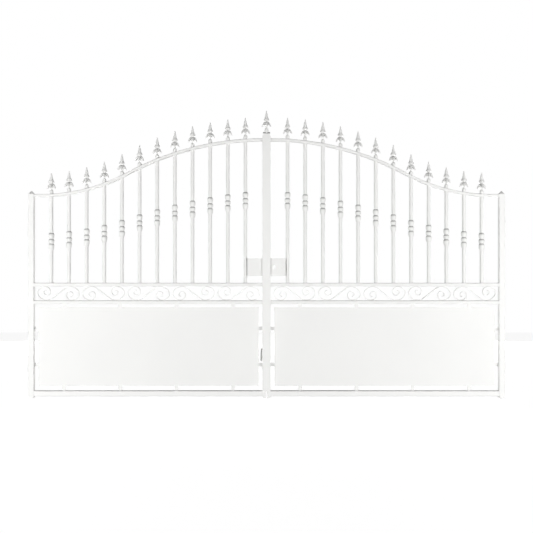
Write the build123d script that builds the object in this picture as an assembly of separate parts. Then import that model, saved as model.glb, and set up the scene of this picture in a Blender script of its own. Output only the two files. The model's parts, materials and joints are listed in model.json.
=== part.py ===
from build123d import *
import math
import os

# Double-leaf steel driveway gate with a swan-neck top, a band of S scrolls and sheeted lower halves.
# x runs along the gate, y from the street to the yard and z up, in millimetres.
# The gate is laid out from its centre line, its front plane and its feet,
# and is moved at the end so that the origin lies on the back of the left lower hinge plate.

# Whole gate
gate_width = 3500.0
frame_depth = 40.0
leaf_gap = 8.0
weld_gap = 0.1

# Stiles
hanging_width = 40.0
hanging_height = 1500.0
hanging_wall = 2.5
tube_corner = 3.0
cap_plate = 2.0
cap_rise = 22.0
cap_tip = 2.0
meeting_width = 25.0
meeting_wall = 2.0
meeting_corner = 2.0

# Rails
rail_wall = 2.0
rail_corner = 4.5
bottom_rail_foot = 13.0
bottom_rail_height = 40.0
band_rail_height = 25.0
lower_band_height = 691.0
band_clear = 105.0
top_rail_height = 20.0
top_rail_drop = 11.0
top_rail_rise = 410.0
top_rail_flat = 52.0
hollow_share = 0.387

# Bars with their knuckles
bar_count = 12
bar_diameter = 27.0
bar_wall = 1.5
bar_end_gap = 126.0
knuckle_clearance = 0.1
knuckle_diameter = 40.0
knuckle_neck = 1.0
knuckle_shoulder = 15.0
knuckle_bulb = 48.0
knuckle_ring = 34.0
knuckle_fullness = 0.62
knuckle_crown = 0.40
knuckle_share_low = 0.472
knuckle_share_high = 0.576

# Spearheads
spear_height = 157.0
spear_tip_radius = 2.0
spear_waist_radius = 9.0
spear_waist_drop = 32.0
spear_blade_radius = 13.0
spear_blade_drop = 50.0
spear_flare_radius = 21.0
spear_flare_drop = 66.0
spear_flare_height = 6.0
spear_neck_radius = 9.0
spear_neck_drop = 77.0
spear_stem_radius = 7.0
spear_stem_drop = 90.0
spear_ball_radius = 14.0
spear_ball_height = 26.0
spear_ball_middle = 9.0
spear_ball_fullness = 0.65

# The leaves that droop round each spearhead's stem
spear_leaf_count = 4
spear_leaf_width = 20.0
spear_leaf_reach = 35.0
spear_leaf_root = 6.0
spear_leaf_shoulder = 25.0
spear_leaf_top = 77.0
spear_leaf_bend = 61.0
spear_leaf_seat = 58.0
spear_leaf_lip = 42.0
spear_leaf_underside = 50.0
spear_leaf_tip = 36.0

# S scrolls
scroll_count = 5
scroll_gap = 20.0
scroll_thickness = 6.0
scroll_depth = 14.0
scroll_slope = 37.4
scroll_bend = 60.0
scroll_reach_shares = (1.00, 0.84, 0.53, 0.32, 0.38, 0.26)
scroll_rise_shares = (1.10, 0.90, 0.74, 0.53, 0.44, 0.28)
curl_steps = 4

# Sheet panels on their tabs
panel_thickness = 2.0
panel_setback = 17.0
panel_side_gap = 29.0
panel_top_gap = 24.0
panel_bottom_gap = 35.0
tab_width = 25.0
tab_thickness = 4.0
tab_lap = 15.0
row_tab_count = 4
row_tab_inset = 189.0
side_tab_count = 2
side_tab_inset = 156.0

# Lock case and keeper case
case_gap = 51.0
case_height = 130.0
case_depth = 36.0
case_wall = 3.0
cylinder_slot_width = 17.0
cylinder_slot_height = 34.0
cylinder_backset = 28.0
spindle_hole = 10.0
spindle_backset = 56.0

# Cover strip with the middle spearhead on it
strip_width = 60.0
strip_thickness = 6.0
strip_foot = 51.0
strip_above_stiles = 25.0
strip_corner = 8.0
strip_rest = 0.3
middle_base_width = 54.0
middle_base_depth = 30.0
middle_base_height = 12.0
middle_base_slope = 9.0
middle_base_top = 24.0

# Hinges
hinge_above_foot = 250.0
hinge_below_top = 250.0
hinge_pin_diameter = 16.0
hinge_running_clearance = 0.1
hinge_pin_seat = 0.02
hinge_pin_inset = 15.0
hinge_pin_setback = 20.0
hinge_seat_gap = 0.3
eye_diameter = 26.0
eye_height = 40.0
eye_strap_width = 12.0
pin_above_eye = 4.0
arm_thickness = 10.0
reveal_gap = 12.0
plate_thickness = 6.0
plate_depth = 70.0
plate_height = 120.0
plate_hole = 9.0
plate_hole_span = 45.0
plate_hole_rise = 90.0
plate_setback = 22.0

# Drop bolt
bolt_diameter = 14.0
bolt_running_clearance = 0.1
bolt_setback = 12.0
bolt_foot = 5.0
bolt_above_guides = 80.0
guide_height = 20.0
guide_width = 24.0
guide_back = 5.0
lower_guide_foot = 110.0
upper_guide_foot = 390.0
handle_below_guide = 30.0
handle_arm_diameter = 10.0
handle_reach = 21.5
handle_length = 92.0
handle_top_diameter = 10.0
handle_ball_diameter = 16.0

# Layout worked out from the sizes above
half_width = gate_width / 2
hang_inner = half_width - hanging_width
meet_inner = leaf_gap / 2
meet_outer = meet_inner + meeting_width
leaf_clear = hang_inner - meet_outer
mid_depth = frame_depth / 2
rail_low = hanging_height - top_rail_drop
rail_high = rail_low + top_rail_rise
upper_band_foot = lower_band_height + band_rail_height + band_clear
bar_foot = upper_band_foot + band_rail_height
case_foot = bar_foot + case_gap
meeting_top = rail_high + top_rail_height / 2
strip_top = meeting_top + strip_above_stiles

# The swan neck is two arcs with a common tangent, level at both ends.
neck_start = hang_inner - top_rail_flat
neck_run = neck_start - meet_outer
neck_angle = 2 * math.atan(top_rail_rise / neck_run)
neck_radii = neck_run / math.sin(neck_angle)
hollow_radius = hollow_share * neck_radii
crown_radius = neck_radii - hollow_radius
neck_turn = neck_start - hollow_radius * math.sin(neck_angle)

bar_pitch = (leaf_clear - 2 * bar_end_gap) / (bar_count - 1)
bar_places = [meet_outer + bar_end_gap + i * bar_pitch for i in range(bar_count)]

pin_x = half_width - hinge_pin_inset
pin_y = frame_depth + hinge_pin_setback
plate_back = half_width + reveal_gap + plate_thickness
plate_y = pin_y + plate_setback
bolt_x = -(meet_inner + meeting_width / 2)
bolt_y = frame_depth + bolt_setback
hinge_heights = (hinge_above_foot, hanging_height - hinge_below_top)
guide_feet = (lower_guide_foot, upper_guide_foot)
bolt_top = upper_guide_foot + guide_height + bolt_above_guides
handle_height = upper_guide_foot - handle_below_guide - handle_arm_diameter / 2


def box(x_from, x_to, y_from, y_to, z_from, z_to):
    """A block between two corners."""
    centre = Pos((x_from + x_to) / 2, (y_from + y_to) / 2, (z_from + z_to) / 2)
    return centre * Box(x_to - x_from, y_to - y_from, z_to - z_from)


def upright_tube(x_from, width, foot, top, wall, corner):
    """A rectangular tube standing in the depth of the frame, open at its foot."""
    outer = RectangleRounded(width, frame_depth, corner)
    inner = Rectangle(width - 2 * wall, frame_depth - 2 * wall)
    return Pos(x_from + width / 2, mid_depth, foot) * extrude(outer - inner, top - foot)


def rail_sections(height):
    """The outside and the inside of a rail's tube, with the frame's depth across and the height up."""
    outer = RectangleRounded(frame_depth, height, rail_corner)
    inner = RectangleRounded(frame_depth - 2 * rail_wall, height - 2 * rail_wall, rail_corner - rail_wall)
    return outer, inner


def level_tube(foot, height):
    """A rail that runs level from the meeting stile to the hanging stile."""
    outer, inner = rail_sections(height)
    start = Plane((meet_outer, mid_depth, foot + height / 2), x_dir=(0, 1, 0), z_dir=(1, 0, 0))
    return extrude(start * (outer - inner), leaf_clear)


def rail_height_at(x):
    """Height of the top rail's centre line at a place along the leaf."""
    if x >= neck_start:
        return rail_low
    if x >= neck_turn:
        return rail_low + hollow_radius - math.sqrt(hollow_radius ** 2 - (neck_start - x) ** 2)
    return rail_high - crown_radius + math.sqrt(crown_radius ** 2 - (x - meet_outer) ** 2)


def neck_line():
    """The top rail's centre line: a level run and two arcs with a common tangent."""
    angle = math.degrees(neck_angle)
    level = Line((hang_inner, rail_low), (neck_start, rail_low))
    hollow = CenterArc((neck_start, rail_low + hollow_radius), hollow_radius, 270, -angle)
    crown = CenterArc((meet_outer, rail_high - crown_radius), crown_radius, 90 - angle, angle)
    return Plane.XZ.offset(-mid_depth) * Wire([level, hollow, crown])


def neck_body(section):
    """A solid of that section along the swan neck."""
    start = Plane((hang_inner, mid_depth, rail_low), x_dir=(0, 1, 0), z_dir=(-1, 0, 0))
    return sweep(start * section, neck_line())


def top_rail():
    """The swan-neck tube."""
    outer, inner = rail_sections(top_rail_height)
    return neck_body(outer) - neck_body(inner)


def stile_cap():
    """A low pyramid on the plate that closes the hanging stile."""
    place = Pos(half_width - hanging_width / 2, mid_depth, hanging_height)
    plate = RectangleRounded(hanging_width, frame_depth, tube_corner)
    foot = Rectangle(hanging_width - 2 * cap_plate, frame_depth - 2 * cap_plate)
    tip = Pos(0, 0, cap_rise) * Rectangle(cap_tip, cap_tip)
    pyramid = Pos(0, 0, cap_plate) * loft([foot, tip])
    return place * (extrude(plate, cap_plate) + pyramid)


def bars(rail_envelope):
    """Round tubes from the band to the underside of the top rail."""
    made = []
    for x in bar_places:
        ring = Circle(bar_diameter / 2) - Circle(bar_diameter / 2 - bar_wall)
        tube = Pos(x, mid_depth, bar_foot) * extrude(ring, rail_height_at(x) - bar_foot)
        made.append(tube - rail_envelope)
    return made


def knuckle_bead(top, height):
    """Edges of one bead, from its top down: a domed shoulder and a long taper."""
    neck = bar_diameter / 2 + knuckle_clearance + knuckle_neck
    belly = knuckle_diameter / 2
    widest = top - knuckle_shoulder
    foot = top - height
    fullness = neck + (belly - neck) * knuckle_fullness
    shoulder_middle = (fullness, top - knuckle_shoulder * knuckle_crown)
    taper_middle = (fullness, (widest + foot) / 2)
    shoulder = ThreePointArc((neck, top), shoulder_middle, (belly, widest))
    taper = ThreePointArc((belly, widest), taper_middle, (neck, foot))
    return [shoulder, taper]


def knuckle():
    """A knuckle centred on its bar: a long bead, a short one and a long one, end to end."""
    inner = bar_diameter / 2 + knuckle_clearance
    neck = inner + knuckle_neck
    ring_top = knuckle_ring / 2
    top = ring_top + knuckle_bulb
    upper = knuckle_bead(top, knuckle_bulb)
    ring = knuckle_bead(ring_top, knuckle_ring)
    lower = knuckle_bead(-ring_top, knuckle_bulb)
    ends = [Line((neck, top), (inner, top)), Line((neck, -top), (inner, -top))]
    bore = Line((inner, -top), (inner, top))
    profile = make_face(upper + ring + lower + ends + [bore])
    return revolve(Plane.XZ * profile, Axis.Z)


def knuckle_height_at(x):
    """Each knuckle sits near the middle of its bar, a little higher towards the gate's centre."""
    nearness = (bar_places[-1] - x) / (bar_places[-1] - bar_places[0])
    share = knuckle_share_low + (knuckle_share_high - knuckle_share_low) * nearness
    return bar_foot + share * (rail_height_at(x) - bar_foot)


def knuckles():
    """One knuckle on each bar."""
    one = knuckle()
    return [Pos(x, mid_depth, knuckle_height_at(x)) * one for x in bar_places]


def spear_leaf():
    """A drooping leaf: its side outline cut to the pointed shape seen from the front."""
    top = (spear_leaf_root, spear_leaf_top)
    seat = (spear_leaf_root, spear_leaf_seat)
    lip = (spear_leaf_reach, spear_leaf_lip)
    tip = (spear_leaf_shoulder, spear_leaf_tip)
    outer_edge = ThreePointArc(top, (spear_leaf_shoulder, spear_leaf_bend), lip)
    inner_middle = ((spear_leaf_root + spear_leaf_reach) / 2, spear_leaf_underside)
    inner_edge = ThreePointArc(tip, inner_middle, seat)
    side = make_face([outer_edge, Line(lip, tip), inner_edge, Line(seat, top)])
    half = spear_leaf_width / 2
    shield = Polyline((-half, spear_leaf_top), (-half, spear_leaf_bend), (0, spear_leaf_tip),
                      (half, spear_leaf_bend), (half, spear_leaf_top), close=True)
    front = make_face(shield)
    return extrude(Plane.XZ * side, half, both=True) & extrude(Plane.YZ * front, spear_leaf_reach)


def spearhead(seat_depth):
    """A spearhead finial that stands on z = 0, with a stub that runs down into its seat."""
    flare_foot = spear_height - spear_flare_drop - spear_flare_height
    blade = Polyline((0, spear_height), (spear_tip_radius, spear_height),
                     (spear_waist_radius, spear_height - spear_waist_drop),
                     (spear_blade_radius, spear_height - spear_blade_drop),
                     (spear_flare_radius, spear_height - spear_flare_drop),
                     (spear_flare_radius, flare_foot),
                     (spear_neck_radius, spear_height - spear_neck_drop),
                     (spear_stem_radius, spear_height - spear_stem_drop),
                     (spear_stem_radius, spear_ball_height))
    ball_shoulder = (spear_stem_radius + (spear_ball_radius - spear_stem_radius) * spear_ball_fullness,
                     spear_ball_middle + (spear_ball_height - spear_ball_middle) * spear_ball_fullness)
    widest = (spear_ball_radius, spear_ball_middle)
    ball = ThreePointArc((spear_stem_radius, spear_ball_height), ball_shoulder, widest)
    foot = Polyline(widest, (spear_ball_radius, -seat_depth), (0, -seat_depth))
    spine = Line((0, -seat_depth), (0, spear_height))
    core = revolve(Plane.XZ * make_face([blade, ball, foot, spine]), Axis.Z)
    leaf = spear_leaf()
    for i in range(spear_leaf_count):
        core = core + Rot(0, 0, i * 360 / spear_leaf_count) * leaf
    return core


def spearheads(rail_envelope):
    """A spearhead over each bar, its foot cut to the slope of the rail."""
    one = spearhead(top_rail_height / 2)
    made = []
    for x in bar_places:
        seat = rail_height_at(x) + top_rail_height / 2
        made.append(Pos(x, mid_depth, seat) * one - rail_envelope)
    return made


def scroll_line(width):
    """Places and directions along the centre line of half an S: a bend, then quarter turns that shrink."""
    half_height = band_clear / 2 - weld_gap - scroll_thickness / 2
    slope = math.radians(scroll_slope)
    bend_x = (math.cos(slope) * (scroll_bend - half_height) - scroll_bend) / math.sin(slope)
    reach = width / 2 - scroll_thickness / 2 + bend_x
    line = []
    for step in range(curl_steps):
        turn = slope * (1 - step / curl_steps)
        place = (bend_x + scroll_bend * math.sin(turn), scroll_bend * (1 - math.cos(turn)) - half_height)
        line.append((place, (-math.cos(turn), -math.sin(turn))))
    at = (bend_x, -half_height)
    for quarter, (across, up) in enumerate(zip(scroll_reach_shares, scroll_rise_shares)):
        axis_x = across * reach
        axis_z = up * half_height
        first = math.radians(-90 - 90 * quarter)
        centre = (at[0] - axis_x * math.cos(first), at[1] - axis_z * math.sin(first))
        for step in range(curl_steps):
            angle = first - math.radians(90 * step / curl_steps)
            place = (centre[0] + axis_x * math.cos(angle), centre[1] + axis_z * math.sin(angle))
            line.append((place, (axis_x * math.sin(angle), -axis_z * math.cos(angle))))
        last = first - math.radians(90)
        at = (centre[0] + axis_x * math.cos(last), centre[1] + axis_z * math.sin(last))
    line.append((at, (1, 0)))
    return line


def scroll_edge(line, offset):
    """One edge of the flat bar, beside its centre line."""
    edge = []
    for (x, z), (along_x, along_z) in line:
        length = math.hypot(along_x, along_z)
        edge.append((x - offset * along_z / length, z + offset * along_x / length))
    return edge


def scroll(width):
    """An S of flat bar: a sloping middle run that curls inwards at both ends."""
    line = scroll_line(width)
    left = scroll_edge(line, scroll_thickness / 2)
    right = scroll_edge(line, -scroll_thickness / 2)
    slope = math.radians(scroll_slope)
    side_x = math.sin(slope) * scroll_thickness / 2
    side_z = math.cos(slope) * scroll_thickness / 2
    start_tangent = (-math.cos(slope), -math.sin(slope))
    left_curve = Spline(*left, tangents=(start_tangent, (1, 0)))
    right_curve = Spline(*right, tangents=(start_tangent, (1, 0)))
    left_run = Line((side_x, -side_z), left[0])
    right_run = Line((-side_x, side_z), right[0])
    middle = Line((side_x, -side_z), (-side_x, side_z))
    end = Line(left[-1], right[-1])
    half = make_face([middle, left_run, left_curve, end, right_curve, right_run])
    flat = half + Rot(0, 0, 180) * half
    return extrude(Plane.XZ * flat, scroll_depth / 2, both=True)


def scrolls():
    """A row of S scrolls in the band, each the mirror image of the next."""
    width = (leaf_clear - (scroll_count + 1) * scroll_gap) / scroll_count
    one = scroll(width)
    other = mirror(one, about=Plane.YZ)
    height = lower_band_height + band_rail_height + band_clear / 2
    made = []
    for i in range(scroll_count):
        x = hang_inner - scroll_gap - width / 2 - i * (width + scroll_gap)
        made.append(Pos(x, mid_depth, height) * (other if i % 2 == 0 else one))
    return made


def panel_edges():
    """Left, right, bottom and top of the sheet."""
    left = meet_outer + panel_side_gap
    right = hang_inner - panel_side_gap
    bottom = bottom_rail_foot + bottom_rail_height + panel_bottom_gap
    top = lower_band_height - panel_top_gap
    return left, right, bottom, top


def panel():
    """The plain sheet that closes the lower half of the leaf."""
    left, right, bottom, top = panel_edges()
    return box(left, right, panel_setback, panel_setback + panel_thickness, bottom, top)


def spread(first, last, count):
    """Places evenly apart from the first to the last."""
    return [first + i * (last - first) / (count - 1) for i in range(count)]


def panel_tabs():
    """Lugs behind the sheet that carry it from the rails and the stiles."""
    left, right, bottom, top = panel_edges()
    front = panel_setback + panel_thickness
    back = front + tab_thickness
    half = tab_width / 2
    made = []
    for x in spread(left + row_tab_inset, right - row_tab_inset, row_tab_count):
        foot = bottom_rail_foot + bottom_rail_height
        made.append(box(x - half, x + half, front, back, foot, bottom + tab_lap))
        made.append(box(x - half, x + half, front, back, top - tab_lap, lower_band_height))
    for z in spread(bottom + side_tab_inset, top - side_tab_inset, side_tab_count):
        made.append(box(meet_outer, left + tab_lap, front, back, z - half, z + half))
        made.append(box(right - tab_lap, hang_inner, front, back, z - half, z + half))
    return made


def lock_case(with_lock):
    """A folded case between the meeting stile and the nearest bar, pierced for a lock on one leaf."""
    far = bar_places[0] - bar_diameter / 2
    front = mid_depth - case_depth / 2
    back = mid_depth + case_depth / 2
    top = case_foot + case_height
    outer = box(meet_outer, far, front, back, case_foot, top)
    inner = box(meet_outer, far, front + case_wall, back - case_wall, case_foot + case_wall, top - case_wall)
    case = outer - inner
    if with_lock:
        middle = case_foot + case_height / 2
        through = Plane.XZ.offset(-mid_depth)
        slot = SlotOverall(cylinder_slot_height, cylinder_slot_width, rotation=90)
        slot = Pos(meet_outer + cylinder_backset, middle) * slot
        spindle = Pos(meet_outer + cylinder_backset + spindle_backset, middle) * Circle(spindle_hole / 2)
        case = case - extrude(through * (slot + spindle), case_depth, both=True)
    return case


def hinge_eyes():
    """A bored barrel and its strap behind the hanging stile at each hinge."""
    made = []
    for height in hinge_heights:
        foot = height + hinge_seat_gap
        barrel = Pos(pin_x, pin_y, foot) * extrude(Circle(eye_diameter / 2), eye_height)
        half = eye_strap_width / 2
        strap = box(pin_x - half, pin_x + half, frame_depth, pin_y, foot, foot + eye_height)
        bore = Circle(hinge_pin_diameter / 2 + hinge_running_clearance)
        made.append(barrel + strap - Pos(pin_x, pin_y, foot) * extrude(bore, eye_height))
    return made


def hinge_bracket(height):
    """A plate on the pillar with a round-nosed arm that carries the pin."""
    foot = height - arm_thickness
    face = plate_back - plate_thickness
    middle = height - arm_thickness / 2
    half = plate_depth / 2
    rise = plate_height / 2
    plate = box(face, plate_back, plate_y - half, plate_y + half, middle - rise, middle + rise)
    for side_y in (-1, 1):
        for side_z in (-1, 1):
            hole = Plane.YZ.offset(face) * Circle(plate_hole / 2)
            shift = Pos(0, plate_y + side_y * plate_hole_span / 2, middle + side_z * plate_hole_rise / 2)
            plate = plate - shift * extrude(hole, plate_thickness)
    half_arm = eye_diameter / 2
    arm = box(pin_x, face, pin_y - half_arm, pin_y + half_arm, foot, height)
    nose = Pos(pin_x, pin_y, foot) * extrude(Circle(half_arm), arm_thickness)
    seat = Circle(hinge_pin_diameter / 2 + hinge_pin_seat)
    return plate + arm + nose - Pos(pin_x, pin_y, foot) * extrude(seat, arm_thickness)


def hinge_pins():
    """The pins, set in the arms and standing up through the eyes."""
    length = arm_thickness + hinge_seat_gap + eye_height + pin_above_eye
    pin = extrude(Circle(hinge_pin_diameter / 2), length)
    return [Pos(pin_x, pin_y, height - arm_thickness) * pin for height in hinge_heights]


def cover_strip():
    """The flat bar that covers the gap between the leaves, with its corners cut."""
    height = strip_top - strip_foot
    flat = Pos(0, strip_foot + height / 2) * Rectangle(strip_width, height)
    flat = chamfer(flat.vertices(), strip_corner)
    return extrude(Plane.XZ.offset(strip_rest) * flat, strip_thickness)


def middle_base():
    """A block with sloping shoulders on top of the cover strip."""
    front = -strip_rest - strip_thickness
    place = Pos(0, front + middle_base_depth / 2, strip_top)
    block = extrude(Rectangle(middle_base_width, middle_base_depth), middle_base_height)
    foot = Pos(0, 0, middle_base_height) * Rectangle(middle_base_width, middle_base_depth)
    top = Pos(0, 0, middle_base_height + middle_base_slope) * Rectangle(middle_base_top, middle_base_top)
    return place * (block + loft([foot, top]))


def middle_spearhead():
    """The spearhead on the block."""
    y = middle_base_depth / 2 - strip_rest - strip_thickness
    return Pos(0, y, strip_top + middle_base_height + middle_base_slope) * spearhead(0)


def bolt_guides():
    """Blocks behind the left meeting stile, bored for the drop bolt."""
    made = []
    for height in guide_feet:
        back = bolt_y + bolt_diameter / 2 + guide_back
        block = box(bolt_x - guide_width / 2, bolt_x + guide_width / 2, frame_depth, back,
                    height, height + guide_height)
        bore = Circle(bolt_diameter / 2 + bolt_running_clearance)
        made.append(block - Pos(bolt_x, bolt_y, height) * extrude(bore, guide_height))
    return made


def drop_bolt():
    """The round rod, drawn up."""
    return Pos(bolt_x, bolt_y, bolt_foot) * extrude(Circle(bolt_diameter / 2), bolt_top - bolt_foot)


def bolt_handle():
    """A short arm from the rod with a drop-shaped grip that hangs beside the stile."""
    ball = handle_ball_diameter / 2
    neck = handle_top_diameter / 2
    top = handle_arm_diameter / 2
    outline = Polyline((0, top), (neck, top), (ball, ball - handle_length + top))
    end = RadiusArc((ball, ball - handle_length + top), (0, top - handle_length), ball)
    spine = Line((0, top - handle_length), (0, top))
    grip = revolve(Plane.XZ * make_face([outline, end, spine]), Axis.Z)
    arm_length = handle_reach - bolt_diameter / 2
    arm = Rot(0, 90, 0) * extrude(Circle(handle_arm_diameter / 2), arm_length)
    return Pos(bolt_x - handle_reach, bolt_y, handle_height) * (grip + arm)


def mirrored(solids):
    """The same pieces on the other leaf."""
    return [mirror(solid, about=Plane.YZ) for solid in solids]


def write(name, solids):
    """Move a sub-part so that the origin lies on the left lower hinge plate, and write it."""
    origin = Pos(plate_back, -plate_y, arm_thickness / 2 - hinge_heights[0])
    moved = [origin * solid for solid in solids]
    export_step(Compound(children=moved) if len(moved) > 1 else moved[0], f"parts/{name}.step")


def leaf_parts():
    """The pieces that both leaves have, made for the right one."""
    rail_envelope = neck_body(rail_sections(top_rail_height)[0])
    hanging = upright_tube(hang_inner, hanging_width, 0, hanging_height, hanging_wall, tube_corner)
    meeting = upright_tube(meet_inner, meeting_width, 0, meeting_top, meeting_wall, meeting_corner)
    return {
        "hanging_stile": [hanging],
        "stile_cap": [stile_cap()],
        "meeting_stile": [meeting],
        "top_rail": [top_rail()],
        "upper_band_rail": [level_tube(upper_band_foot, band_rail_height)],
        "lower_band_rail": [level_tube(lower_band_height, band_rail_height)],
        "bottom_rail": [level_tube(bottom_rail_foot, bottom_rail_height)],
        "bars": bars(rail_envelope),
        "bar_knuckles": knuckles(),
        "spearheads": spearheads(rail_envelope),
        "scrolls": scrolls(),
        "panel": [panel()],
        "panel_tabs": panel_tabs(),
        "hinge_eyes": hinge_eyes(),
    }


def main():
    """Write every sub-part of the gate."""
    os.makedirs("parts", exist_ok=True)
    for name, solids in leaf_parts().items():
        write(f"right_{name}", solids)
        write(f"left_{name}", mirrored(solids))
    write("right_lock_case", [lock_case(True)])
    write("left_keeper_case", mirrored([lock_case(False)]))
    for place, height in zip(("lower", "upper"), hinge_heights):
        write(f"right_{place}_hinge_bracket", [hinge_bracket(height)])
        write(f"left_{place}_hinge_bracket", mirrored([hinge_bracket(height)]))
    write("right_hinge_pins", hinge_pins())
    write("left_hinge_pins", mirrored(hinge_pins()))
    write("cover_strip", [cover_strip()])
    write("middle_base", [middle_base()])
    write("middle_spearhead", [middle_spearhead()])
    write("bolt_guides", bolt_guides())
    write("drop_bolt", [drop_bolt()])
    write("bolt_handle", [bolt_handle()])


main()
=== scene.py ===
# %% [markdown]
# # A white steel driveway gate, finished in Blender
#
# The gate itself, with its tubes, bars, sheets, scrolls and hinges, comes ready made from a CAD model in metres.
# Blender gives it what a drawing office leaves out: the powder coat, the weld beads in its corners, the full curves of
# its castings, the anchor bolts in its hinge plates, and a studio to stand in. Every piece added here takes its place
# from the CAD pieces, so it still fits when the gate's sizes change.

import json

import bpy
import numpy as np
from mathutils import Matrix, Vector


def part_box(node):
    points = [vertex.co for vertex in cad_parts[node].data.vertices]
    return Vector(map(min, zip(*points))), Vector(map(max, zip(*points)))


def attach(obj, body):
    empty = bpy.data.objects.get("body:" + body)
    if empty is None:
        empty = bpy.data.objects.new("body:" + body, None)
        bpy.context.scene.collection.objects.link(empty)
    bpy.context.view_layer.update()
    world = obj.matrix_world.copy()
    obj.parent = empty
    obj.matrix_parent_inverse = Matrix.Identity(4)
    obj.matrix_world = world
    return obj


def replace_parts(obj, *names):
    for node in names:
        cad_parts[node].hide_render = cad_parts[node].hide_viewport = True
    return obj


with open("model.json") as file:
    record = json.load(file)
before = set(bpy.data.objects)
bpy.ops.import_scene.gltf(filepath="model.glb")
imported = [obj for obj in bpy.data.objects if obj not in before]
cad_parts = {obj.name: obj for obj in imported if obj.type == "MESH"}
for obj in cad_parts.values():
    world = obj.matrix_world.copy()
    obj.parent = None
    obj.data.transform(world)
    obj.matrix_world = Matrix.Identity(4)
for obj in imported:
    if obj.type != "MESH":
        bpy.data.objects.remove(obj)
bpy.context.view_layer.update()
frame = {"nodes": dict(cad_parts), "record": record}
nodes = frame["nodes"]

# %% [markdown]
# ## Reading places from the CAD pieces
#
# The two leaves are nearly mirror images about the gate's centre line. What both have is worked out on the right leaf
# and mirrored. The centre line, the front plane and the feet are read from the stiles.


# %% Box of a piece
def box_of(name):
    """Lowest and highest corner of a CAD piece, as two arrays."""
    low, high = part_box(name)
    return np.array(low), np.array(high)


# %% Main places
hanging_low, hanging_high = box_of("right_hanging_stile")
meeting_low, meeting_high = box_of("right_meeting_stile")
left_meeting_low, left_meeting_high = box_of("left_meeting_stile")
CENTRE_X = (meeting_low[0] + left_meeting_high[0]) / 2
FRONT_Y = hanging_low[1]
BACK_Y = hanging_high[1]
MIDDLE_Y = (FRONT_Y + BACK_Y) / 2
FEET_Z = hanging_low[2]
print("centre line at", round(CENTRE_X, 4), "front plane at", round(FRONT_Y, 4), "feet at", round(FEET_Z, 4))

# %% Places of the bars
BAR_COUNT = 12
NEAR_BAR = 0.044
bars_low, bars_high = box_of("right_bars")
BAR_RADIUS = (bars_high[1] - bars_low[1]) / 2
BAR_FOOT_Z = bars_low[2]
bar_places = np.linspace(bars_low[0] + BAR_RADIUS, bars_high[0] - BAR_RADIUS, BAR_COUNT)
print("bars of radius", round(BAR_RADIUS, 4), "from", round(bar_places[0], 3), "to", round(bar_places[-1], 3))

# %% [markdown]
# Some CAD pieces are rows of alike solids, such as the tabs behind a panel. Their places are found again from their
# vertices: sorted along one direction, the vertices of one solid lie close together, and a wide step in the numbers
# is the gap to the next one. A step counts as wide from a least gap on, which is one for neighbours on a rail and a
# larger one for the rows of hinges and guides. Vertices touch a plane when they lie within a hair of it.

# %% Vertices and islands
NEIGHBOUR_GAP = 0.05
ROW_GAP = 0.1
TOUCH = 0.0005


def points_of(name):
    """All vertices of a CAD piece as an array of shape (count, 3)."""
    mesh = nodes[name].data
    flat = np.empty(len(mesh.vertices) * 3, dtype=np.float32)
    mesh.vertices.foreach_get("co", flat)
    return flat.reshape(-1, 3).astype(float)


def islands(numbers, gap):
    """First and last number of each run in which neighbours are closer together than the gap."""
    numbers = np.unique(np.round(numbers, 5))
    cuts = np.flatnonzero(np.diff(numbers) > gap) + 1
    return [(float(run[0]), float(run[-1])) for run in np.split(numbers, cuts)]


hinge_rows = islands(points_of("right_hinge_eyes")[:, 2], ROW_GAP)
print("hinge eyes stand at", [[round(v, 3) for v in row] for row in hinge_rows])

# %% [markdown]
# ## The powder coat
#
# Powder is blown on dry and melted in an oven. It keeps a faint orange-peel skin, it runs a little thinner over
# sharp edges, and its gloss is not quite even. Each of these is a node group, because the tubes, the castings and
# the sheet all use them with their own values. A picture texture would blur at close range, and these stay sharp.


# %% Helpers for shader groups
def new_group(name, inputs, outputs):
    """A shader node group with named inputs and outputs, and its input and output nodes."""
    group = bpy.data.node_groups.new(name, "ShaderNodeTree")
    for label, kind, value in inputs:
        group.interface.new_socket(label, in_out="INPUT", socket_type=kind).default_value = value
    for label, kind in outputs:
        group.interface.new_socket(label, in_out="OUTPUT", socket_type=kind)
    return group, group.nodes.new("NodeGroupInput"), group.nodes.new("NodeGroupOutput")


def add_node(tree, kind, values=None, **settings):
    """A node of that kind with its settings, and with plain values on the inputs that are named or numbered."""
    made = tree.nodes.new(kind)
    for setting, value in settings.items():
        setattr(made, setting, value)
    for label, value in (values or {}).items():
        made.inputs[label].default_value = value
    return made


# %% Orange peel
def build_orange_peel():
    """Height of the skin: fine noise mixed with a longer swell that takes its own share."""
    group, given, result = new_group(
        "orange_peel",
        [("Grain per metre", "NodeSocketFloat", 400.0), ("Swell share", "NodeSocketFloat", 0.4)],
        [("Height", "NodeSocketFloat")],
    )
    link = group.links.new
    place = add_node(group, "ShaderNodeTexCoord")
    fine = add_node(group, "ShaderNodeTexNoise", {"Detail": 2.0})
    slower = add_node(group, "ShaderNodeMath", {1: 0.12}, operation="MULTIPLY")
    swell = add_node(group, "ShaderNodeTexNoise", {"Detail": 1.0})
    mixed = add_node(group, "ShaderNodeMix", data_type="FLOAT")
    link(place.outputs["Object"], fine.inputs["Vector"])
    link(given.outputs["Grain per metre"], fine.inputs["Scale"])
    link(given.outputs["Grain per metre"], slower.inputs[0])
    link(place.outputs["Object"], swell.inputs["Vector"])
    link(slower.outputs[0], swell.inputs["Scale"])
    link(given.outputs["Swell share"], mixed.inputs["Factor"])
    link(fine.outputs["Fac"], mixed.inputs["A"])
    link(swell.outputs["Fac"], mixed.inputs["B"])
    link(mixed.outputs["Result"], result.inputs["Height"])
    return group


orange_peel = build_orange_peel()
print("group", orange_peel.name)


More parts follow.
